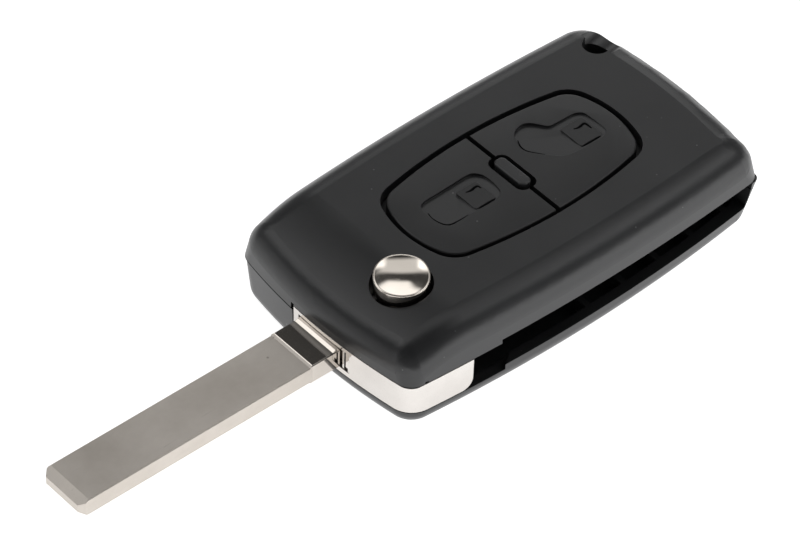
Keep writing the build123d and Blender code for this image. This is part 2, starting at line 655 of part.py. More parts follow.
def catch_slot(side_y, z0, z1):
    """L-shaped slot of the blade's catch, in the shallow relief beside the root."""
    x1 = FRONT_X + CATCH_SLOT_DEPTH
    y1 = side_y - CATCH_SLOT_WIDTH
    y0 = y1 - CATCH_SLOT_WIDTH
    foot_top = z0 + CATCH_FOOT_HEIGHT
    return slab(-BIG, x1, y0, y1, z0, z1) + slab(-BIG, x1, y1 - CATCH_FOOT_WIDTH, y1, z0, foot_top)


def blade_head():
    """Plated swinging head with its hubs, bore, lug slots and blade pocket."""
    head = bottom_half(0, 0, UNDERSIDE_R) & head_plan()
    head += rod(PIVOT_X, PIVOT_Y, TOP_HUB_R, HEAD_TOP_Z, HUB_TOP_Z)
    head += rod(PIVOT_X, PIVOT_Y, LOW_HUB_R, HUB_LOW_Z, HEAD_LOW_Z)
    head -= rod(PIVOT_X, PIVOT_Y, HUB_BORE_R, 0, BIG)
    slot_low = LUG_TOP_Z - LUG_HEIGHT - RELEASE_TRAVEL - LUG_DROP
    half = LUG_WIDTH / 2 + RUNNING_GAP
    lug_slot = slab(-TOP_HUB_R, TOP_HUB_R, -half, half, slot_low, BIG)
    head -= Pos(PIVOT_X, PIVOT_Y, 0) * lug_slot
    head -= blade_pocket()
    return head - rod(PIN_X, BLADE_MID_Y, PIN_R + PIN_FIT, 0, BIG)


def bevelled_bar(x0, x1, thickness):
    """Bar along X with the blade's width and bevelled long edges, centred on its axis."""
    bar = slab(x0, x1, -BLADE_WIDTH / 2, BLADE_WIDTH / 2, -thickness / 2, thickness / 2)
    return chamfer(bar.edges().filter_by(Axis.X), EDGE_BEVEL)


def root_collar():
    """Low step across the top of the blade's root, just in front of the head."""
    low_z = ROOT_T / 2
    high_z = low_z + COLLAR_RISE
    x0 = FRONT_X - COLLAR_REACH
    x1 = FRONT_X + 1
    side = Polyline((x0, low_z), (x0 + COLLAR_SLOPE, high_z), (x1, high_z), (x1, low_z), close=True)
    return extrude(Plane.XZ * make_face(side), BLADE_WIDTH / 2 - EDGE_BEVEL, both=True)


def key_blade():
    """Uncut flat blade with a thicker root, a bevelled tip and a pinned tang."""
    root_x = FRONT_X - ROOT_LENGTH
    tip_x = FRONT_X - BLADE_REACH
    bevel_x = tip_x + TIP_BEVEL_LENGTH
    top = BLADE_T / 2
    tip = top - TIP_BEVEL_DEPTH
    upper = [(root_x, top), (bevel_x, top), (tip_x, tip)]
    lower = [(x, -z) for x, z in reversed(upper)]
    side = Plane.XZ * make_face(Polyline(upper + lower, close=True))
    blade = extrude(side, BLADE_WIDTH, both=True) & bevelled_bar(tip_x - 1, root_x + 1, BLADE_T)
    slope = [(root_x - ROOT_SLOPE, 0), (root_x - ROOT_SLOPE, top), (root_x, ROOT_T / 2),
             (FRONT_X + 1, ROOT_T / 2), (FRONT_X + 1, 0)]
    slope += [(x, -z) for x, z in reversed(slope[1:-1])]
    side = Plane.XZ * make_face(Polyline(slope, close=True))
    root = extrude(side, BLADE_WIDTH, both=True)
    blade += root & bevelled_bar(root_x - 1, FRONT_X + 1, ROOT_T)
    blade += root_collar()
    corner = Rot(0, 0, 45) * slab(0, BIG, -BIG, BIG, -BIG, BIG)
    corner = Pos(TIP_CORNER - BLADE_WIDTH / 2, 0, 0) * corner
    far_side = Pos(tip_x, 0, 0) * corner
    blade = blade & far_side & mirror(far_side, Plane.XZ)
    tang_x = FRONT_X + TANG_GAP
    half_w = TANG_WIDTH / 2
    blade += slab(tang_x, FRONT_X + TANG_DEPTH, -half_w, half_w, -TANG_T / 2, TANG_T / 2)
    blade = Pos(0, BLADE_MID_Y, BLADE_MID_Z) * blade
    return blade - rod(PIN_X, BLADE_MID_Y, PIN_R + PIN_FIT, 0, BIG)


def blade_pin():
    """Rolled pin that holds the blade's tang in the head."""
    pin = rod(PIN_X, BLADE_MID_Y, PIN_R, HEAD_LOW_Z + PIN_DROP, HEAD_TOP_Z - PIN_DROP)
    return pin - rod(PIN_X, BLADE_MID_Y, PIN_R / 2, 0, BIG)


def release_button():
    """Dished metal cap of the release button with its stem."""
    dish_r = BUTTON_R - BUTTON_RIM
    ball_r = (dish_r ** 2 + BUTTON_DISH_DEPTH ** 2) / (2 * BUTTON_DISH_DEPTH)
    cap = rod(PIVOT_X, PIVOT_Y, BUTTON_R, BUTTON_LOW_Z, BUTTON_TOP_Z)
    cap = fillet(cap.faces().sort_by(Axis.Z)[-1].edges(), BUTTON_EDGE_R)
    ball_z = BUTTON_TOP_Z - BUTTON_DISH_DEPTH + ball_r
    cap -= Pos(PIVOT_X, PIVOT_Y, ball_z) * Sphere(ball_r)
    return cap + rod(PIVOT_X, PIVOT_Y, CAP_STEM_R, BUTTON_LOW_Z - CAP_STEM_LENGTH, BUTTON_LOW_Z)


def release_plunger():
    """Locking plunger: a cup over the spring with two lugs that slide in the head's hub."""
    body = rod(PIVOT_X, PIVOT_Y, HUB_BORE_R - RUNNING_GAP, PLUNGER_LOW_Z, BUTTON_LOW_Z)
    body -= rod(PIVOT_X, PIVOT_Y, PLUNGER_BORE_R, 0, BUTTON_LOW_Z - PLUNGER_WEB)
    reach = TOP_HUB_R - SLIDE_FIT
    half = LUG_WIDTH / 2
    lugs = slab(-reach, reach, -half, half, LUG_TOP_Z - LUG_HEIGHT, LUG_TOP_Z)
    lugs = lugs & rod(0, 0, reach, 0, BIG)
    lugs -= rod(0, 0, HUB_BORE_R - FUSE, 0, BIG)
    body += Pos(PIVOT_X, PIVOT_Y, 0) * lugs
    socket_z = BUTTON_LOW_Z - CAP_STEM_LENGTH - RELEASE_SPARE
    return body - rod(PIVOT_X, PIVOT_Y, CAP_STEM_R + PIN_FIT, socket_z, BIG)


def spring_seat():
    """Seat in the floor under the pivot, with the peg that centres the spring."""
    z0 = FLOOR - SEAT_SINK
    seat = rod(PIVOT_X, PIVOT_Y, SEAT_R, z0, z0 + SEAT_T)
    return seat + rod(PIVOT_X, PIVOT_Y, SEAT_PEG_R, z0 + SEAT_T, z0 + SEAT_T + SEAT_PEG_HEIGHT)


def flip_spring():
    """Coil spring that throws the blade out and returns the release button."""
    low = FLOOR - SEAT_SINK + SEAT_T + SPRING_WIRE_R
    high = BUTTON_LOW_Z - PLUNGER_WEB - SPRING_WIRE_R
    pitch = (high - low) / SPRING_TURNS
    path = Helix(pitch, high - low, SPRING_R)
    start = Plane(origin=path @ 0, z_dir=path % 0)
    coil = sweep(start * Circle(SPRING_WIRE_R), path)
    return Pos(PIVOT_X, PIVOT_Y, low) * coil


def thrust_washer():
    """Thin washer between the head and the upper shell's bearing ring."""
    inner_r = TOP_HUB_R + SLIDE_FIT
    outer = rod(PIVOT_X, PIVOT_Y, inner_r + WASHER_WIDTH, HEAD_TOP_Z, HEAD_TOP_Z + WASHER_T)
    return outer - rod(PIVOT_X, PIVOT_Y, inner_r, 0, BIG)


pieces = {
    "upper_shell": upper_shell(),
    "lower_shell": lower_shell(),
    "case_screw": case_screw(),
    "lock_button": button_cap(-1),
    "unlock_button": button_cap(1),
    "divider_bar": divider_bar(),
    "keypad_membrane": keypad_membrane(),
    "keypad_retainer": keypad_retainer(),
    "circuit_tray": circuit_tray(),
    "battery_contact_positive": battery_contact(1, CONTACT_SHORT_REACH),
    "battery_contact_negative": battery_contact(-1, CONTACT_LONG_REACH),
    "blade_head": blade_head(),
    "key_blade": key_blade(),
    "blade_pin": blade_pin(),
    "release_button": release_button(),
    "release_plunger": release_plunger(),
    "flip_spring": flip_spring(),
    "spring_seat": spring_seat(),
    "thrust_washer": thrust_washer(),
}

os.makedirs("parts", exist_ok=True)
for name, shape in pieces.items():
    export_step(shape, "parts/" + name + ".step")
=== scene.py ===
"""Flip key fob shell: finishes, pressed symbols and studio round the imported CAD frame."""

import logging
import math
from dataclasses import dataclass, field
from enum import Enum
from typing import Protocol

import bmesh
import bpy
from mathutils import Matrix, Vector

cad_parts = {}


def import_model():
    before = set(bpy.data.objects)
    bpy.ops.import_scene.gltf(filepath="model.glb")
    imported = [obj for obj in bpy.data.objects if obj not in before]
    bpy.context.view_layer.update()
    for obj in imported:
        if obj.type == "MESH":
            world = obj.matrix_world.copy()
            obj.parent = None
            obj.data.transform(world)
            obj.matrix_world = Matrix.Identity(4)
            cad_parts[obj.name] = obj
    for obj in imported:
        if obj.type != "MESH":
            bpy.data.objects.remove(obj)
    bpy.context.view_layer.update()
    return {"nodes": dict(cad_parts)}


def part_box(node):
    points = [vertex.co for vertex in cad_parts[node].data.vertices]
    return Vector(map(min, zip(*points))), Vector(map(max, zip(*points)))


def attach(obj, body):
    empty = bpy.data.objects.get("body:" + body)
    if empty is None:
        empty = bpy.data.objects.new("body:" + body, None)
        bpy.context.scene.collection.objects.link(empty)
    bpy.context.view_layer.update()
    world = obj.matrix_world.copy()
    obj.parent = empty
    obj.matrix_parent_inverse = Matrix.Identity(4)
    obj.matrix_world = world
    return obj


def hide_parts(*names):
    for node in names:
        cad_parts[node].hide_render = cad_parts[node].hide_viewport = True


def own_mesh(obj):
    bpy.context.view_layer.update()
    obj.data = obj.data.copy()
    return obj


LOG = logging.getLogger("key_fob")
MM = 0.001
Colour = tuple[float, float, float]
Point = tuple[float, float]
Place = tuple[float, float, float]
Nodes = dict[str, bpy.types.Object]
Socket = bpy.types.NodeSocket


class Slot(Enum):
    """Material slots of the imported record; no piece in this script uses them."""

    CASE = "case_plastic"
    CAP = "cap_plastic"
    PLATED = "plated_metal"


class Body(Enum):
    """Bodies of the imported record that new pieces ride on."""

    CASE = "case"
    RELEASE = "release"
    LOCK_CAP = "lock_cap"
    UNLOCK_CAP = "unlock_cap"


class NodeGraph:
    """Small helper that adds and joins the nodes of one tree."""

    def __init__(self, tree: bpy.types.NodeTree) -> None:
        """Starts with an empty tree.

        Args:
            tree: Tree of a material or a world.
        """
        self.tree = tree
        self.tree.nodes.clear()

    def link(self, source: Socket, target: Socket) -> None:
        """Joins two sockets.

        Args:
            source: Output that gives the value.
            target: Input that takes it.
        """
        self.tree.links.new(source, target)

    def spread(self, value: Socket, low: float, high: float, to_low: float, to_high: float,
               kind: str = "LINEAR") -> Socket:
        """Maps a value from one range to another, held at the ends.

        Args:
            value: Socket to map.
            low: Value that becomes to_low.
            high: Value that becomes to_high.
            to_low: Result at low.
            to_high: Result at high.
            kind: Blender's name of the interpolation.

        Returns:
            The mapped socket.
        """
        node = self.tree.nodes.new("ShaderNodeMapRange")
        node.interpolation_type = kind
        ends = {"From Min": low, "From Max": high, "To Min": to_low, "To Max": to_high}
        for name, number in ends.items():
            node.inputs[name].default_value = number
        self.link(value, node.inputs["Value"])
        return node.outputs["Result"]

    def maths(self, kind: str, first: Socket, second: Socket | float = 0.0) -> Socket:
        """Arithmetic on one socket and another socket or number.

        Args:
            kind: Blender's name of the operation.
            first: First value.
            second: Second value.

        Returns:
            The result socket.
        """
        node = self.tree.nodes.new("ShaderNodeMath")
        node.operation = kind
        self.link(first, node.inputs[0])
        if isinstance(second, float):
            node.inputs[1].default_value = second
        else:
            self.link(second, node.inputs[1])
        return node.outputs[0]


class Graph(NodeGraph):
    """Nodes of one material."""

    def __init__(self, name: str) -> None:
        """Starts an empty material with a Principled shader.

        Args:
            name: Name of the material.
        """
        self.material = bpy.data.materials.new(name)
        self.material.use_nodes = True
        super().__init__(self.material.node_tree)
        self.shader = self.tree.nodes.new("ShaderNodeBsdfPrincipled")
        output = self.tree.nodes.new("ShaderNodeOutputMaterial")
        self.link(self.shader.outputs["BSDF"], output.inputs["Surface"])
        place = self.tree.nodes.new("ShaderNodeTexCoord")
        self.place = place.outputs["Object"]
        self.normal: Socket | None = None

    def stretched(self, scale: Place, turn: float = 0.0) -> Socket:
        """Object coordinates turned about Z and scaled along each axis.

        Args:
            scale: Scale along X, Y and Z.
            turn: Turn about Z in degrees.

        Returns:
            The socket of the new coordinates.
        """
        node = self.tree.nodes.new("ShaderNodeMapping")
        node.inputs["Scale"].default_value = scale
        node.inputs["Rotation"].default_value = (0.0, 0.0, math.radians(turn))
        self.link(self.place, node.inputs["Vector"])
        return node.outputs["Vector"]

    def noise(self, scale: float, detail: float = 2.0, rough: float = 0.5,
              place: Socket | None = None) -> Socket:
        """Noise texture.

        Args:
            scale: Cells per metre.
            detail: Octaves.
            rough: Share of the fine octaves.
            place: Coordinates, or the object's own.

        Returns:
            The factor socket.
        """
        node = self.tree.nodes.new("ShaderNodeTexNoise")
        node.inputs["Scale"].default_value = scale
        node.inputs["Detail"].default_value = detail
        node.inputs["Roughness"].default_value = rough
        self.link(place or self.place, node.inputs["Vector"])
        return node.outputs["Fac"]

    def tint(self, factor: Socket, dark: Colour | Socket, light: Colour) -> Socket:
        """Mixes two colours.

        Args:
            factor: Share of the light colour.
            dark: First colour, as numbers or as a socket.
            light: Second colour.

        Returns:
            The colour socket.
        """
        node = self.tree.nodes.new("ShaderNodeMix")
        node.data_type = "RGBA"
        first = node.inputs["A"]
        if isinstance(dark, tuple):
            first.default_value = (*dark, 1.0)
        else:
            self.link(dark, first)
        node.inputs["B"].default_value = (*light, 1.0)
        self.link(factor, node.inputs["Factor"])
        return node.outputs["Result"]

    def soften(self, radius: float) -> None:
        """Rounds the look of sharp edges by a small radius.

        Args:
            radius: Radius in metres.
        """
        node = self.tree.nodes.new("ShaderNodeBevel")
        node.samples = 4
        node.inputs["Radius"].default_value = radius
        self.normal = node.outputs["Normal"]

    def edge_mask(self) -> Socket:
        """How much the softened normal leaves the surface's own, so where an edge is.

        Returns:
            A socket of 0 on open faces that rises to 1 at sharp edges.
        """
        flat = self.tree.nodes.new("ShaderNodeNewGeometry")
        product = self.tree.nodes.new("ShaderNodeVectorMath")
        product.operation = "DOT_PRODUCT"
        self.link(self.normal, product.inputs[0])
        self.link(flat.outputs["Normal"], product.inputs[1])
        return self.spread(product.outputs["Value"], 0.8, 0.99, 1.0, 0.0)

    def specks(self, scale: float, share: float) -> Socket:
        """Sparse round specks of settled dust.

        Args:
            scale: Cells per metre, with one speck at most in each.
            share: Share of the cells that have a speck.

        Returns:
            A socket of 1 on a speck and 0 elsewhere.
        """
        node = self.tree.nodes.new("ShaderNodeTexVoronoi")
        node.inputs["Scale"].default_value = scale
        self.link(self.place, node.inputs["Vector"])
        split = self.tree.nodes.new("ShaderNodeSeparateColor")
        self.link(node.outputs["Color"], split.inputs["Color"])
        chosen = self.spread(split.outputs["Red"], 1.0 - share, 1.001 - share, 0.0, 1.0)
        return self.maths("MULTIPLY", self.spread(node.outputs["Distance"], 0.05, 0.11, 1.0, 0.0), chosen)

    def along(self, axis: str) -> Socket:
        """One object coordinate.

        Args:
            axis: Name of the axis.

        Returns:
            The socket of that coordinate in metres.
        """
        node = self.tree.nodes.new("ShaderNodeSeparateXYZ")
        self.link(self.place, node.inputs["Vector"])
        return node.outputs[axis]

    def bump(self, height: Socket, depth: float) -> None:
        """Feeds a height into the shader's normal.

        Args:
            height: Height from 0 to 1.
            depth: Depth in metres of a height of 1.
        """
        node = self.tree.nodes.new("ShaderNodeBump")
        node.inputs["Distance"].default_value = depth
        node.inputs["Strength"].default_value = 1.0
        self.link(height, node.inputs["Height"])
        if self.normal is not None:
            self.link(self.normal, node.inputs["Normal"])
        self.link(node.outputs["Normal"], self.shader.inputs["Normal"])


class Finish(Protocol):
    """Anything with a name that can build one material."""

    name: str

    def material(self) -> bpy.types.Material:
        """Builds the material."""


@dataclass(frozen=True)
class MouldedPlastic:
    """Eroded moulded plastic with a fine grain, handled patches, edges lightened partly by rubbed wear and
    partly as a painted highlight, and dust.
    """

    name: str
    dark: Colour
    light: Colour
    roughness: float
    rough_spread: float
    grain: float
    grain_depth: float
    edge: float = 0.0001
    # edge colour: partly rubbed wear, partly a painted edge highlight
    rubbed_and_highlight: Colour = (0.055, 0.0555, 0.057)
    dust: Colour = (0.14, 0.14, 0.14)
    dust_share: float = 0.05
    seam: float = 0.0
    seam_half: float = 0.00016
    # colour of the painted shade along the parting line
    seam_shade: Colour = (0.003, 0.003, 0.003)

    def shade_seam(self, graph: Graph, colour: Socket) -> Socket:
        """Paints shade along the parting line: a near-black colour and almost no reflection there.

        Args:
            graph: Graph of the material.
            colour: Colour of the plastic.

        Returns:
            The colour with the painted shade.
        """
        away = graph.maths("ABSOLUTE", graph.maths("SUBTRACT", graph.along("Z"), self.seam))
        # painted shade: the band round the parting line gets a near-black colour and almost no reflection
        seam_shaded = graph.spread(away, 0.7 * self.seam_half, self.seam_half, 1.0, 0.0)
        graph.link(graph.spread(seam_shaded, 0.0, 1.0, 0.5, 0.04), graph.shader.inputs["Specular IOR Level"])
        return graph.tint(seam_shaded, colour, self.seam_shade)

    def material(self) -> bpy.types.Material:
        """Builds the material.

        Returns:
            The material.
        """
        graph = Graph(self.name)
        graph.soften(self.edge)
        patches = graph.noise(90.0, 3.0)
        fine = graph.noise(self.grain, 3.0, 0.6)
        colour = graph.tint(graph.spread(patches, 0.3, 0.7, 0.0, 1.0), self.dark, self.light)
        # partly rubbed wear, partly a painted highlight: edges are drawn lighter and a little glossier
        worn = graph.maths("MULTIPLY", graph.edge_mask(), graph.spread(patches, 0.35, 0.65, 0.2, 1.0))
        colour = graph.tint(worn, colour, self.rubbed_and_highlight)
        colour = graph.tint(graph.specks(700.0, self.dust_share), colour, self.dust)
        # painted shade along the parting line
        if self.seam:
            colour = self.shade_seam(graph, colour)
        graph.link(colour, graph.shader.inputs["Base Color"])
        rough = graph.spread(patches, 0.25, 0.75, self.roughness - self.rough_spread,
                             self.roughness + self.rough_spread)
        rough = graph.maths("SUBTRACT", rough, graph.maths("MULTIPLY", worn, 0.06))
        graph.link(rough, graph.shader.inputs["Roughness"])
        graph.shader.inputs["IOR"].default_value = 1.5
        graph.bump(fine, self.grain_depth)
        return graph.material


@dataclass(frozen=True)
class PolishedPlate:
    """Bright nickel plate with faint orange peel and hairline wear."""

    name: str
    dark: Colour
    light: Colour
    roughness: float
    wave_depth: float
    edge: float = 0.00012

    def material(self) -> bpy.types.Material:
        """Builds the material.

        Returns:
            The material.
        """
        graph = Graph(self.name)
        graph.soften(self.edge)
        cloud = graph.noise(160.0, 3.0)
        waves = graph.noise(420.0, 1.0)
        hair = graph.noise(1.0, 2.0, 0.5, graph.stretched((900.0, 6000.0, 2500.0), 24.0))
        graph.link(graph.tint(graph.spread(cloud, 0.35, 0.7, 0.0, 1.0), self.dark, self.light),
                   graph.shader.inputs["Base Color"])
        graph.shader.inputs["Metallic"].default_value = 1.0
        marks = graph.spread(hair, 0.62, 0.72, 0.0, 0.08)
        base = graph.spread(cloud, 0.3, 0.7, self.roughness * 0.7, self.roughness * 1.5)
        graph.link(graph.maths("ADD", base, marks), graph.shader.inputs["Roughness"])
        graph.bump(waves, self.wave_depth)
        return graph.material


@dataclass(frozen=True)
class BrushedBlade:
    """Satin plated blank with fine marks and pits, and a smooth polished stretch past one place."""

    name: str
    dark: Colour
    light: Colour
    roughness: float
    polished_roughness: float = 0.25
    polished_from: float = 1.0
    scuff: Colour = (0.27, 0.24, 0.21)
    edge: float = 0.00008

    def material(self) -> bpy.types.Material:
        """Builds the material.

        Returns:
            The material.
        """
        graph = Graph(self.name)
        graph.soften(self.edge)
        cloud = graph.noise(90.0, 5.0, 0.65)
        grain = graph.noise(1.0, 3.0, 0.6, graph.stretched((220.0, 5200.0, 5200.0)))
        marks = graph.noise(1.0, 2.0, 0.5, graph.stretched((500.0, 7000.0, 3000.0), 33.0))
        colour = graph.tint(graph.spread(cloud, 0.3, 0.7, 0.0, 1.0), self.dark, self.light)
        scratches = graph.noise(1.0, 2.0, 0.5, graph.stretched((160.0, 2600.0, 900.0), 12.0))
        scratches = graph.maths("MULTIPLY", graph.spread(scratches, 0.68, 0.74, 0.0, 0.55),
                                graph.spread(cloud, 0.45, 0.6, 0.0, 1.0))
        nicks = graph.maths("MULTIPLY", graph.specks(420.0, 0.10), 0.7)
        colour = graph.tint(graph.maths("MAXIMUM", scratches, nicks), colour, self.scuff)
        graph.link(colour, graph.shader.inputs["Base Color"])
        graph.shader.inputs["Metallic"].default_value = 1.0
        worn = graph.maths("ADD", graph.spread(cloud, 0.3, 0.7, -0.05, 0.07),
                           graph.spread(marks, 0.6, 0.75, 0.0, 0.08))
        satin = graph.spread(graph.along("X"), self.polished_from - 0.0001, self.polished_from, 1.0, 0.0)
        base = graph.spread(satin, 0.0, 1.0, self.polished_roughness, self.roughness)
        worn = graph.maths("MULTIPLY", worn, graph.spread(satin, 0.0, 1.0, 0.2, 1.0))
        graph.link(graph.maths("ADD", worn, base), graph.shader.inputs["Roughness"])
        height = graph.maths("ADD", grain, graph.maths("MULTIPLY", marks, 1.4))
        height = graph.maths("MULTIPLY", height, graph.spread(satin, 0.0, 1.0, 0.02, 1.0))
        graph.bump(height, 0.000003)
        return graph.material


@dataclass(frozen=True)
class Paper:
    """Pale, faintly fibrous paper that glows, most on the near side of the object."""

    name: str
    dark: Colour
    light: Colour
    glow: float
    lit_side: float = 1.0
    reach: float = 0.09

    def material(self) -> bpy.types.Material:
        """Builds the material.

        Returns:
            The material.
        """
        graph = Graph(self.name)
        colour = graph.tint(graph.noise(6.0, 3.0), self.dark, self.light)
        graph.link(colour, graph.shader.inputs["Base Color"])
        graph.link(colour, graph.shader.inputs["Emission Color"])
        glow = graph.spread(graph.along("Y"), -self.reach, 0.0, self.glow * self.lit_side, self.glow)
        graph.link(glow, graph.shader.inputs["Emission Strength"])
        graph.shader.inputs["Roughness"].default_value = 0.9
        graph.shader.inputs["Specular IOR Level"].default_value = 0.1
        graph.bump(graph.noise(900.0, 2.0), 0.00003)
        return graph.material


CASE_FINISH = MouldedPlastic("case satin", (0.0210, 0.0214, 0.0227), (0.0255, 0.0260, 0.0275),
                             0.31, 0.03, 5200.0, 0.000005, seam=7.7 * MM)
MARK_FINISH = MouldedPlastic("rubbed mark", (0.12, 0.12, 0.122), (0.16, 0.16, 0.163),
                             0.30, 0.03, 5200.0, 0.000005, dust_share=0.0)
CAP_FINISH = MouldedPlastic("cap matt", (0.0160, 0.0163, 0.0171), (0.0200, 0.0203, 0.0213),
                            0.34, 0.03, 5200.0, 0.000006)
BAR_FINISH = MouldedPlastic("bar satin", (0.040, 0.0405, 0.0418), (0.048, 0.0485, 0.050),
                            0.30, 0.10, 5200.0, 0.000005)
INNER_FINISH = MouldedPlastic("inner plain", (0.008, 0.008, 0.008), (0.011, 0.011, 0.011),
                              0.5, 0.05, 2600.0, 0.000008, dust_share=0.0)
SILICONE_FINISH = MouldedPlastic("keypad silicone", (0.03, 0.03, 0.031), (0.045, 0.045, 0.046),
                                 0.55, 0.05, 1800.0, 0.000006, dust_share=0.0)
HEAD_FINISH = PolishedPlate("head plate", (0.63, 0.60, 0.57), (0.69, 0.66, 0.63), 0.14, 0.000008)
BUTTON_FINISH = PolishedPlate("button plate", (0.68, 0.625, 0.56), (0.74, 0.685, 0.62), 0.09, 0.000006)
BLADE_FINISH = BrushedBlade("blade satin", (0.54, 0.495, 0.445), (0.66, 0.615, 0.565),
                            0.42, 0.07, -39.4 * MM)
WIRE_FINISH = BrushedBlade("drawn steel", (0.45, 0.45, 0.45), (0.55, 0.55, 0.54), 0.28)
FLOOR_FINISH = Paper("floor paper", (0.60, 0.60, 0.60), (0.64, 0.64, 0.64), 1.5, 1.85)


@dataclass
class Wardrobe:
    """Finishes made so far, so that pieces of one finish share one material."""

    made: dict[str, bpy.types.Material] = field(default_factory=dict)

    def dress(self, piece: bpy.types.Object, finish: Finish) -> None:
        """Gives a piece one finish on all its faces.

        Args:
            piece: Mesh object.
            finish: Finish to use.
        """
        if finish.name not in self.made:
            self.made[finish.name] = finish.material()
        piece.data.materials.clear()
        piece.data.materials.append(self.made[finish.name])
        LOG.info("dressed %s with %s", piece.name, finish.name)


def smooth_path(points: tuple[Point, ...], steps: int, closed: bool) -> list[Point]:
    """Rounded path through a few points.

    Args:
        points: Points that the path passes.
        steps: Points made for each span.
        closed: True if the path returns to its start.

    Returns:
        The points of the path.
    """
    count = len(points)
    spans = count if closed else count - 1
    path: list[Point] = []
    for index in range(spans):
        if closed:
            around = [Vector(points[(index + shift) % count]) for shift in (-1, 0, 1, 2)]
        else:
            around = [Vector(points[min(max(index + shift, 0), count - 1)]) for shift in (-1, 0, 1, 2)]
        before, here, there, after = around
        for step in range(steps):
            t = step / steps
            place = 0.5 * (2 * here + (there - before) * t
                           + (2 * before - 5 * here + 4 * there - after) * t ** 2
                           + (3 * here - before - 3 * there + after) * t ** 3)
            path.append((place.x, place.y))
    if not closed:
        path.append(points[-1])
    return path


def side_way(path: list[Point], index: int, closed: bool) -> Vector:
    """Unit direction to the left of a path at one of its points.

    Args:
        path: Points of the path.
        index: Which point.
        closed: True if the path returns to its start.

    Returns:
        The direction.
    """
    count = len(path)
    if closed:
        before, after = path[index - 1], path[(index + 1) % count]
    else:
        before, after = path[max(index - 1, 0)], path[min(index + 1, count - 1)]
    run = (Vector(after) - Vector(before)).normalized()
    return Vector((-run.y, run.x))


def rounded_box(low: Point, high: Point, radius: float) -> list[Point]:
    """Outline of a box with round corners, counter-clockwise.

    Args:
        low: Lowest corner.
        high: Highest corner.
        radius: Corner radius.

    Returns:
        The outline's points.
    """
    centres = ((high[0] - radius, low[1] + radius, -90), (high[0] - radius, high[1] - radius, 0),
               (low[0] + radius, high[1] - radius, 90), (low[0] + radius, low[1] + radius, 180))
    outline: list[Point] = []
    for x, y, start in centres:
        for step in range(5):
            angle = math.radians(start + 90 * step / 4)
            outline.append((x + radius * math.cos(angle), y + radius * math.sin(angle)))
    return outline


def mesh_piece(name: str, rings: list[list[Vector]]) -> bpy.types.Object:
    """Closed solid through rings of equal length, capped at both ends.

    Args:
        name: Name of the object.
        rings: Rings of points in millimetres.

    Returns:
        The object, linked to the scene.
    """
    form = bmesh.new()
    rows = [[form.verts.new(point * MM) for point in ring] for ring in rings]
    size = len(rows[0])
    for first, second in zip(rows, rows[1:]):
        for index in range(size):
            after = (index + 1) % size
            form.faces.new((first[index], first[after], second[after], second[index]))
    form.faces.new(reversed(rows[0]))
    form.faces.new(rows[-1])
    bmesh.ops.recalc_face_normals(form, faces=form.faces)
    mesh = bpy.data.meshes.new(name)
    form.to_mesh(mesh)
    form.free()
    piece = bpy.data.objects.new(name, mesh)
    bpy.context.scene.collection.objects.link(piece)
    return piece


def cut(target: bpy.types.Object, cutters: list[bpy.types.Object]) -> None:
    """Takes the cutters out of the target and removes them.

    Args:
        target: Solid to cut.
        cutters: Solids to take out.
    """
    for cutter in cutters:
        tool = target.modifiers.new("cut", "BOOLEAN")
        tool.operation = "DIFFERENCE"
        tool.solver = "EXACT"
        tool.object = cutter
    bpy.context.view_layer.update()
    result = target.evaluated_get(bpy.context.evaluated_depsgraph_get())
    mesh = bpy.data.meshes.new_from_object(result)
    target.modifiers.clear()
    target.data = mesh
    for cutter in cutters:
        bpy.data.objects.remove(cutter)


def smooth(piece: bpy.types.Object, angle: float) -> None:
    """Shades a piece smooth up to an angle between its faces.

    Args:
        piece: Mesh object.
        angle: Angle in degrees past which an edge stays sharp.
    """
    mesh = piece.data
    if "custom_normal" in mesh.attributes:
        mesh.attributes.remove(mesh.attributes["custom_normal"])
    mesh.shade_smooth()
    mesh.set_sharp_from_angle(angle=math.radians(angle))


@dataclass(frozen=True)
class Recess:
    """Shallow recess whose floor runs up from its far side to its near side."""

    outline: tuple[Point, ...]
    far_depth: float
    near_depth: float
    draft: float = 0.05
    steps: int = 5

    def cutter(self, top: float) -> bpy.types.Object:
        """Builds the solid to take out.

        Args:
            top: Height of the flat face in millimetres.

        Returns:
            The cutter.
        """
        path = smooth_path(self.outline, self.steps, True)
        near = min(point[1] for point in path)
        far = max(point[1] for point in path)
        upper, lower = [], []
        for index, (x, y) in enumerate(path):
            way = side_way(path, index, True) * self.draft
            upper.append(Vector((x - way.x, y - way.y, top + 0.3)))
            inner = Vector((x + way.x, y + way.y))
            share = (inner.y - near) / (far - near)
            depth = self.near_depth + (self.far_depth - self.near_depth) * share
            lower.append(Vector((inner.x, inner.y, top - depth)))
        return mesh_piece("recess", [lower, upper])


@dataclass(frozen=True)
class Groove:
    """Fine groove along a path, narrow and shallow at its ends."""

    path: tuple[Point, ...]
    width: float = 0.34
    depth: float = 0.60
    steps: int = 6

    def cutter(self, top: float) -> bpy.types.Object:
        """Builds the solid to take out.

        Args:
            top: Height of the flat face in millimetres.

        Returns:
            The cutter.
        """
        path = smooth_path(self.path, self.steps, False)
        rings = []
        for index, (x, y) in enumerate(path):
            share = index / (len(path) - 1)
            fade = 0.25 + 0.75 * math.sin(math.pi * share) ** 0.5
            way = side_way(path, index, False) * self.width * fade / 2
            depth = self.depth * fade
            rings.append([
                Vector((x - 1.5 * way.x, y - 1.5 * way.y, top + 0.1)),
                Vector((x + 1.5 * way.x, y + 1.5 * way.y, top + 0.1)),
                Vector((x + 0.4 * way.x, y + 0.4 * way.y, top - depth)),
                Vector((x - 0.4 * way.x, y - 0.4 * way.y, top - depth)),
            ])
        return mesh_piece("groove", rings)


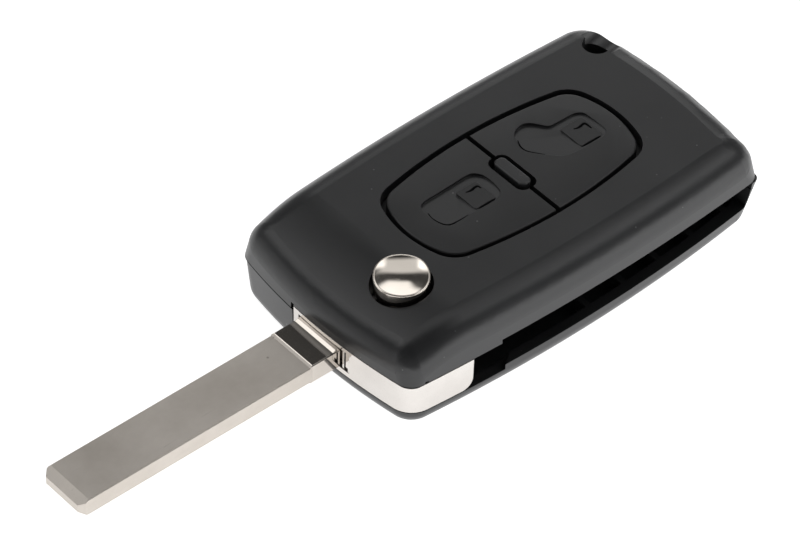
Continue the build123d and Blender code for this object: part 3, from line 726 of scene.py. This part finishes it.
@dataclass(frozen=True)
class Symbol:
    """Generic pressed symbol: a recess with a padlock standing in it and fine grooves."""

    recess: Recess
    padlock: tuple[Point, Point]
    shackle: tuple[Point, ...]
    grooves: tuple[Groove, ...]
    corner: float = 0.35

    def cutters(self, top: float) -> list[bpy.types.Object]:
        """Builds all that is taken out of the cap's face.

        Args:
            top: Height of the flat face in millimetres.

        Returns:
            The cutters.
        """
        hollow = self.recess.cutter(top)
        island = rounded_box(*self.padlock, self.corner)
        cut(hollow, [mesh_piece("island", [
            [Vector((x, y, top - 1.0)) for x, y in island],
            [Vector((x, y, top + 1.0)) for x, y in island],
        ])])
        lines = (Groove(self.shackle), *self.grooves)
        return [hollow, *(line.cutter(top) for line in lines)]


LOCKED = Symbol(
    Recess(((-2.35, 3.25), (-3.1, 3.7), (-4.3, 3.78), (-6.6, 3.70), (-9.2, 3.63), (-11.8, 3.50),
            (-12.8, 2.85), (-13.1, 1.6), (-13.0, 0.2), (-12.8, -1.2), (-12.2, -2.15), (-11.0, -2.45),
            (-8.5, -2.50), (-5.5, -2.50), (-3.2, -2.45), (-2.2, -1.9), (-1.75, -0.7), (-1.6, 1.0),
            (-1.75, 2.3)), 0.40, 0.08),
    ((-7.15, -2.30), (-3.35, 2.05)),
    ((-6.05, 1.15), (-5.1, 1.0), (-4.4, 1.15), (-3.85, 1.05), (-3.75, 0.45)),
    (Groove(((-12.6, 1.7), (-12.95, 0.3), (-12.75, -1.2), (-12.2, -2.15), (-11.2, -2.45), (-8.6, -2.45)),
            0.30, 0.75),
     Groove(((-7.25, 2.1), (-7.25, -2.0)), 0.24, 0.24),
     Groove(((-7.0, -2.42), (-3.5, -2.42)), 0.32, 0.60)),
)
UNLOCKED = Symbol(
    Recess(((17.3, 3.45), (16.4, 3.77), (14.3, 3.84), (12.3, 4.0), (11.4, 5.1), (10.6, 6.15), (9.5, 6.7),
            (8.1, 6.4), (7.05, 5.5), (6.5, 4.1), (6.3, 2.6), (6.8, 1.5), (7.9, -0.1), (9.6, -1.9),
            (12.0, -2.5), (14.5, -2.6), (16.9, -2.5), (17.9, -1.9), (18.1, -0.6), (18.1, 1.0),
            (17.95, 2.7)), 0.42, 0.03),
    ((12.95, -2.15), (17.1, 2.50)),
    ((14.45, 1.25), (15.3, 1.05), (16.3, 1.2), (16.6, 0.8), (16.6, -0.3)),
    (Groove(((7.1, 4.9), (6.45, 3.7), (6.35, 2.45), (6.95, 1.3), (8.0, -0.2)), 0.36, 0.85),
     Groove(((12.85, 2.4), (12.85, -2.0)), 0.24, 0.22),
     Groove(((12.8, -2.2), (16.6, -2.25)), 0.30, 0.55)),
)


@dataclass
class CaseHalves:
    """Two case halves, the raised bar, the screw and the moulding mark at the button opening."""

    nodes: Nodes
    wardrobe: Wardrobe
    mark_foot: Place = (-3.75, -10.60, 15.22)
    mark_tip: Place = (-3.35, -9.78, 15.05)
    mark_width: float = 0.22
    mark_drop: float = 0.9
    mark_ridge: float = 0.06

    def dress(self) -> None:
        """Dresses the halves, the bar and the screw."""
        for name in ("upper_shell", "lower_shell"):
            self.wardrobe.dress(self.nodes[name], CASE_FINISH)
        self.wardrobe.dress(self.nodes["divider_bar"], BAR_FINISH)
        self.wardrobe.dress(self.nodes["case_screw"], WIRE_FINISH)

    def moulding_mark(self) -> None:
        """Adds the small rib left by the mould across the near side of the button opening."""
        foot, tip = Vector(self.mark_foot), Vector(self.mark_tip)
        run = (tip - foot).to_2d().normalized()
        way = Vector((-run.y, run.x, 0.0)) * self.mark_width / 2
        drop = Vector((0.0, 0.0, self.mark_drop))
        ridge = Vector((0.0, 0.0, self.mark_ridge))
        rings = []
        for share, spread in ((0.0, 1.2), (0.35, 1.0), (0.7, 0.9), (1.0, 0.6)):
            place = foot.lerp(tip, share)
            rings.append([place - way * spread - drop, place + way * spread - drop,
                          place + way * spread, place + ridge, place - way * spread])
        piece = mesh_piece("moulding_mark", rings)
        smooth(piece, 50.0)
        self.wardrobe.dress(piece, MARK_FINISH)
        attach(piece, Body.CASE.value)

    def build(self) -> None:
        """Dresses the CAD pieces and adds the moulding mark."""
        self.dress()
        self.moulding_mark()


@dataclass
class Keypad:
    """Two caps with pressed symbols over the silicone sheet and its frame."""

    nodes: Nodes
    wardrobe: Wardrobe
    cap_top: float = 15.35
    crease: float = 30.0

    def pressed_cap(self, node: str, symbol: Symbol, body: Body) -> None:
        """Adds a cap of the CAD shape with a symbol pressed into its face.

        Args:
            node: CAD node of the cap.
            symbol: Symbol to press.
            body: Body that carries the cap.
        """
        piece = bpy.data.objects.new(f"{node}_pressed", self.nodes[node].data.copy())
        bpy.context.scene.collection.objects.link(piece)
        cut(piece, symbol.cutters(self.cap_top))
        smooth(piece, self.crease)
        self.wardrobe.dress(piece, CAP_FINISH)
        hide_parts(node)
        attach(piece, body.value)

    def build(self) -> None:
        """Builds both caps and dresses what lies under them."""
        self.pressed_cap("lock_button", LOCKED, Body.LOCK_CAP)
        self.pressed_cap("unlock_button", UNLOCKED, Body.UNLOCK_CAP)
        self.wardrobe.dress(self.nodes["keypad_membrane"], SILICONE_FINISH)
        self.wardrobe.dress(self.nodes["keypad_retainer"], INNER_FINISH)


@dataclass
class FlipHead:
    """Plated head with the blade, its pin and the spring parts that throw it.
    """

    nodes: Nodes
    wardrobe: Wardrobe
    travel: float = 2.0 * MM
    finishes: dict[str, Finish] = field(default_factory=lambda: {
        "blade_head": HEAD_FINISH,
        "key_blade": BLADE_FINISH,
        "blade_pin": WIRE_FINISH,
        "thrust_washer": WIRE_FINISH,
        "flip_spring": WIRE_FINISH,
        "spring_seat": WIRE_FINISH,
    })

    def build(self) -> None:
        """Gives the spring its own mesh and dresses the head's pieces."""
        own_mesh(self.nodes["flip_spring"])
        for name, finish in self.finishes.items():
            self.wardrobe.dress(self.nodes[name], finish)


@dataclass
class ReleaseButton:
    """Dished metal button on its locking plunger, resting a little askew in its well.

    Lengths are in millimetres. The lean is the rise of the rim per millimetre along X and Y. The bow
    adds a rise that grows along bow_way and with the square of the distance to either side of it.
    """

    nodes: Nodes
    wardrobe: Wardrobe
    radius: float = 4.0
    top: float = 16.72
    dish_radius: float = 3.70
    dish_depth: float = 0.60
    dish_lip: float = 0.02
    dish_rim: float = 0.05
    dish_rings: int = 16
    rounding: float = 0.20
    rounding_steps: int = 6
    waist: float = 1.2
    skirt: float = 2.4
    lean: Point = (0.0365, 0.0411)
    bow: float = 0.006
    bow_way: Point = (0.664, 0.748)
    around: int = 96

    def profile(self) -> list[Point]:
        """Half section from the first ring of the dish to the foot of the skirt.

        Returns:
            Radius of each ring and its height over the rim, in millimetres.
        """
        ball = (self.dish_radius ** 2 + self.dish_depth ** 2) / (2 * self.dish_depth)
        points = []
        for step in range(1, self.dish_rings + 1):
            r = self.dish_radius * step / self.dish_rings
            points.append((r, ball - self.dish_depth - self.dish_lip - math.sqrt(ball ** 2 - r ** 2)))
        points.append((self.dish_radius + self.dish_rim, 0.0))
        corner = self.rounding
        for step in range(self.rounding_steps + 1):
            angle = math.radians(90 - 90 * step / self.rounding_steps)
            points.append((self.radius - corner + corner * math.cos(angle),
                           -corner + corner * math.sin(angle)))
        points += [(self.radius, -self.waist), (self.radius, -self.skirt)]
        return points

    def turned(self) -> bpy.types.Object:
        """Turns the button's profile about the pivot and leans its upper part.

        Returns:
            The button.
        """
        low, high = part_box("release_button")
        middle = (Vector(low) + Vector(high)) / 2 / MM
        toward, beside = self.bow_way
        rings = []
        for r, drop in self.profile():
            ring = []
            for index in range(self.around):
                angle = 2 * math.pi * index / self.around
                x, y = r * math.cos(angle), r * math.sin(angle)
                share = max(0.0, 1.0 + drop / self.skirt) * min(1.0, r / self.dish_radius)
                ahead, across = toward * x + beside * y, beside * x - toward * y
                lift = (x * self.lean[0] + y * self.lean[1] + self.bow * ahead * across ** 2) * share
                ring.append(Vector((middle.x + x, middle.y + y, self.top + drop + lift)))
            rings.append(ring)
        return mesh_piece("release_button_turned", rings)

    def build(self) -> None:
        """Builds the button and dresses the plunger."""
        piece = self.turned()
        smooth(piece, 40.0)
        self.wardrobe.dress(piece, BUTTON_FINISH)
        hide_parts("release_button")
        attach(piece, Body.RELEASE.value)
        self.wardrobe.dress(self.nodes["release_plunger"], INNER_FINISH)


@dataclass
class CircuitTray:
    """Inner tray with the two bent battery contacts."""

    nodes: Nodes
    wardrobe: Wardrobe

    def build(self) -> None:
        """Dresses the tray and the contacts."""
        self.wardrobe.dress(self.nodes["circuit_tray"], INNER_FINISH)
        for name in ("battery_contact_positive", "battery_contact_negative"):
            self.wardrobe.dress(self.nodes[name], WIRE_FINISH)


@dataclass(frozen=True)
class SoftPanel:
    """Bright rectangle with soft edges in the studio's dome, in degrees."""

    name: str
    azimuth: float
    elevation: float
    half_width: float
    half_height: float
    soft: float
    radiance: float

    def directions(self) -> tuple[Vector, Vector, Vector]:
        """Works out how the panel lies.

        Returns:
            Unit directions to the panel's middle, along its width and along its height.
        """
        turn, rise = math.radians(self.azimuth), math.radians(self.elevation)
        middle = Vector((math.cos(turn) * math.cos(rise), math.sin(turn) * math.cos(rise), math.sin(rise)))
        along = Vector((-math.sin(turn), math.cos(turn), 0.0))
        return middle, along, middle.cross(along)


class Dome(NodeGraph):
    """Nodes of the studio's surroundings: a room, a pale ground and soft panels."""

    def __init__(self, name: str) -> None:
        """Starts an empty world.

        Args:
            name: Name of the world.
        """
        self.world = bpy.data.worlds.new(name)
        self.world.use_nodes = True
        super().__init__(self.world.node_tree)
        place = self.tree.nodes.new("ShaderNodeTexCoord")
        self.way = place.outputs["Generated"]

    def share(self, axis: Vector) -> Socket:
        """How far a direction of the surroundings goes along an axis.

        Args:
            axis: Unit vector of the axis.

        Returns:
            Socket with the cosine of the angle between the two.
        """
        node = self.tree.nodes.new("ShaderNodeVectorMath")
        node.operation = "DOT_PRODUCT"
        self.link(self.way, node.inputs[0])
        node.inputs[1].default_value = axis
        return node.outputs["Value"]

    def room(self, steps: tuple[Point, ...]) -> Socket:
        """Radiance that changes with height only.

        Args:
            steps: Sine of the elevation and radiance, from the ground up.

        Returns:
            The radiance socket.
        """
        height = self.share(Vector((0.0, 0.0, 1.0)))
        total = self.spread(height, steps[0][0], steps[1][0], steps[0][1], steps[1][1])
        for (low, before), (high, after) in zip(steps[1:], steps[2:]):
            total = self.maths("ADD", total, self.spread(height, low, high, 0.0, after - before))
        return total

    def panel(self, panel: SoftPanel) -> Socket:
        """Radiance of one soft panel.

        Args:
            panel: Panel to add.

        Returns:
            The radiance socket.
        """
        middle, along, up = panel.directions()
        ahead = self.share(middle)
        mask = self.spread(ahead, 0.1, 0.2, 0.0, panel.radiance)
        for axis, half in ((along, panel.half_width), (up, panel.half_height)):
            across = self.maths("ABSOLUTE", self.maths("DIVIDE", self.share(axis), ahead))
            inner = math.tan(math.radians(max(half - panel.soft, 0.5)))
            outer = math.tan(math.radians(half + panel.soft))
            mask = self.maths("MULTIPLY", mask, self.spread(across, inner, outer, 1.0, 0.0, "SMOOTHSTEP"))
        return mask

    def finish(self, total: Socket) -> None:
        """Feeds the radiance into the world's background and puts the world in the scene.

        Args:
            total: Radiance of every direction.
        """
        glow = self.tree.nodes.new("ShaderNodeBackground")
        output = self.tree.nodes.new("ShaderNodeOutputWorld")
        self.link(total, glow.inputs["Strength"])
        self.link(glow.outputs["Background"], output.inputs["Surface"])
        bpy.context.scene.world = self.world


@dataclass
class Studio:
    """Floor, dome and camera of the photograph's studio."""

    wardrobe: Wardrobe
    camera_place: Place = (-0.352969, -0.375929, 0.497752)
    camera_right: Place = (0.75816053, -0.6518552, 0.01665569)
    camera_up: Place = (0.44500219, 0.53590617, 0.71748005)
    camera_back: Place = (-0.47661899, -0.53655323, 0.6963799)
    lens: float = 225.72
    floor_half: float = 0.6
    room: tuple[Point, ...] = ((-0.02, 1.35), (0.02, 0.26), (0.5, 0.26), (0.66, 0.08), (0.95, 0.04))
    panels: tuple[SoftPanel, ...] = (
        SoftPanel("rear", 52.0, 71.5, 31.0, 15.5, 5.0, 0.98),
        SoftPanel("right", -29.0, 48.0, 14.5, 10.0, 6.0, 2.1),
        SoftPanel("left", 120.0, 48.0, 12.5, 11.0, 5.0, 1.9),
        SoftPanel("right low", -58.0, 2.0, 26.0, 11.0, 5.5, 2.4),
        SoftPanel("left low", 143.0, 10.0, 17.0, 13.0, 5.0, 0.85),
        SoftPanel("rear strip", 45.0, 24.0, 10.0, 16.0, 3.0, 1.6),
    )

    def floor(self) -> None:
        """Adds the pale paper floor as a slightly subdivided sheet."""
        sheet = bpy.data.meshes.new("floor")
        grid = bmesh.new()
        bmesh.ops.create_grid(grid, x_segments=8, y_segments=8, size=self.floor_half)
        grid.to_mesh(sheet)
        grid.free()
        piece = bpy.data.objects.new("floor", sheet)
        bpy.context.scene.collection.objects.link(piece)
        self.wardrobe.dress(piece, FLOOR_FINISH)

    def dome(self) -> None:
        """Adds the room, the ground and the soft panels."""
        dome = Dome("studio")
        total = dome.room(self.room)
        for panel in self.panels:
            total = dome.maths("ADD", total, dome.panel(panel))
            LOG.info("soft panel %s", panel.name)
        dome.finish(total)

    def camera(self) -> None:
        """Adds the camera at the photograph's place and angle."""
        data = bpy.data.cameras.new("photo camera")
        data.lens = self.lens
        data.sensor_width = 36.0
        data.sensor_fit = "HORIZONTAL"
        data.clip_start = 0.05
        data.clip_end = 20.0
        holder = bpy.data.objects.new("photo camera", data)
        columns = Matrix((self.camera_right, self.camera_up, self.camera_back)).transposed()
        holder.matrix_world = Matrix.Translation(self.camera_place) @ columns.to_4x4()
        bpy.context.scene.collection.objects.link(holder)
        bpy.context.scene.camera = holder

    def build(self) -> None:
        """Builds the whole studio."""
        self.floor()
        self.dome()
        self.camera()
        bpy.context.scene.view_settings.view_transform = "Standard"
        LOG.info("studio ready")


def main() -> None:
    """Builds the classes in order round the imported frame."""
    logging.basicConfig(level=logging.INFO, format="%(message)s")
    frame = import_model()
    nodes, wardrobe = frame["nodes"], Wardrobe()
    for part in (CaseHalves, Keypad, FlipHead, ReleaseButton, CircuitTray):
        part(nodes, wardrobe).build()
        LOG.info("%s ready", part.__name__)
    Studio(wardrobe).build()


if __name__ == "__main__":
    main()
